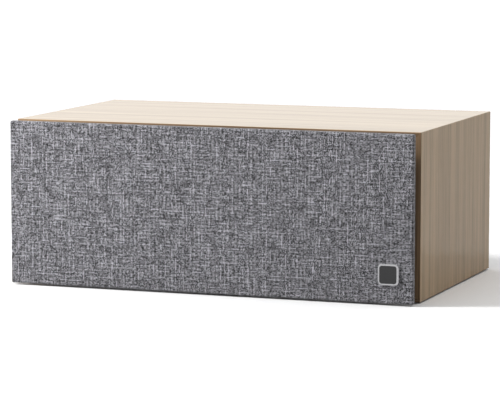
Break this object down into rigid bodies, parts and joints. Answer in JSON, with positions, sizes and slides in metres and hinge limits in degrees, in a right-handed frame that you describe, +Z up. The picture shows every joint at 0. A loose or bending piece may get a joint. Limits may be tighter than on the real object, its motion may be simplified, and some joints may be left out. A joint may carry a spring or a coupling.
{
  "type": "centre channel speaker",
  "caption": "Low wide loudspeaker in a pale wood-veneered mitred cabinet, with a grey heather cloth grille floating in front on pegs, woofers and a dome tweeter behind it.",
  "frame": {"origin": "on the floor, at the middle of the footprint", "axes": "+X to the right seen from the front, -Y out of the grille, +Z up"},
  "size_m": [0.48, 0.308, 0.1875],
  "materials": {
    "oak_veneer": "satin",
    "black_board": "satin",
    "raw_board": "matte",
    "heather_cloth": "woven",
    "rubber": "matte",
    "black_plastic": "satin",
    "bright_metal": "polished",
    "black_enamel": "gloss",
    "cast_aluminium": "painted",
    "coated_paper": "matte",
    "spider_cloth": "resin-dipped",
    "copper_winding": "enamelled",
    "steel": "zinc plated",
    "ferrite": "matte",
    "silk": "coated",
    "gold_plate": "plated",
    "red_plastic": "gloss",
    "dark_plastic": "gloss",
    "circuit_board": "satin",
    "film_plastic": "gloss",
    "cement": "matte",
    "lead_jacket": "satin",
    "wadding": "fluffy",
    "black_steel": "satin"
  },
  "bodies": {
    "cabinet": {"board_standoffs": "black_plastic", "bottom_panel": "oak_veneer", "crossover_board": "circuit_board", "crossover_capacitors": "film_plastic", "crossover_resistor": "cement", "damping_pads": "wadding", "driver_terminals": "gold_plate", "foot_pads": "rubber", "front_baffle": "black_board", "grille_sockets": "black_plastic", "left_brace": "raw_board", "left_side_panel": "oak_veneer", "left_woofer_basket": "cast_aluminium", "left_woofer_gasket": "rubber", "left_woofer_magnet": "ferrite", "left_woofer_spider": "spider_cloth", "left_woofer_surround": "rubber", "left_woofer_top_plate": "steel", "left_woofer_yoke": "steel", "negative_post": "gold_plate", "port_tube": "black_plastic", "positive_post": "gold_plate", "rear_panel": "black_board", "right_brace": "raw_board", "right_side_panel": "oak_veneer", "right_woofer_basket": "cast_aluminium", "right_woofer_gasket": "rubber", "right_woofer_magnet": "ferrite", "right_woofer_spider": "spider_cloth", "right_woofer_surround": "rubber", "right_woofer_top_plate": "steel", "right_woofer_yoke": "steel", "screws": "black_steel", "terminal_cup": "black_plastic", "terminal_nuts": "steel", "top_panel": "oak_veneer", "tweeter_dome": "silk", "tweeter_faceplate": "black_plastic", "tweeter_inductor": "copper_winding", "tweeter_magnet": "ferrite", "tweeter_top_plate": "steel", "tweeter_voice_coil": "copper_winding", "tweeter_yoke": "steel", "wiring": "lead_jacket", "woofer_inductor": "copper_winding"},
    "grille": {"grille_frame": "black_board", "grille_cloth": "heather_cloth", "grille_pegs": "black_plastic", "badge_rim": "bright_metal", "badge_inlay": "black_enamel"},
    "left_cone": {"left_woofer_cone": "coated_paper", "left_woofer_dust_cap": "coated_paper", "left_woofer_voice_coil": "copper_winding"},
    "right_cone": {"right_woofer_cone": "coated_paper", "right_woofer_dust_cap": "coated_paper", "right_woofer_voice_coil": "copper_winding"},
    "negative_clamp": {"negative_clamp_ring": "gold_plate"},
    "negative_terminal_cap": {"negative_cap": "dark_plastic"},
    "positive_clamp": {"positive_clamp_ring": "gold_plate"},
    "positive_terminal_cap": {"positive_cap": "red_plastic"}
  },
  "joints": [
    {"name": "grille_pull", "type": "slide", "parent": "cabinet", "child": "grille", "axis": [0, -1, 0], "range_m": [0, 0.06]},
    {"name": "left_cone_stroke", "type": "slide", "parent": "cabinet", "child": "left_cone", "axis": [0, -1, 0], "range_m": [-0.005, 0.005], "stiffness_N_per_m": 1000, "deforming": ["left_woofer_surround", "left_woofer_spider"]},
    {"name": "right_cone_stroke", "type": "slide", "parent": "cabinet", "child": "right_cone", "axis": [0, -1, 0], "range_m": [-0.005, 0.005], "stiffness_N_per_m": 1000, "deforming": ["right_woofer_surround", "right_woofer_spider"]},
    {"name": "negative_clamp_slide", "type": "slide", "parent": "cabinet", "child": "negative_clamp", "axis": [0, 1, 0], "range_m": [0, 0.005]},
    {"name": "negative_cap_turn", "type": "hinge", "parent": "negative_clamp", "child": "negative_terminal_cap", "pos_m": [-0.015, 0.1322, 0.0945], "axis": [0, 1, 0], "range_deg": [0, 1800]},
    {"name": "positive_clamp_slide", "type": "slide", "parent": "cabinet", "child": "positive_clamp", "axis": [0, 1, 0], "range_m": [0, 0.005]},
    {"name": "positive_cap_turn", "type": "hinge", "parent": "positive_clamp", "child": "positive_terminal_cap", "pos_m": [0.015, 0.1322, 0.0945], "axis": [0, 1, 0], "range_deg": [0, 1800]}
  ],
  "couplings": [
    {"joint": "negative_cap_turn", "follows": "negative_clamp_slide", "rad_per_m": 6283.2},
    {"joint": "positive_cap_turn", "follows": "positive_clamp_slide", "rad_per_m": 6283.2}
  ]
}
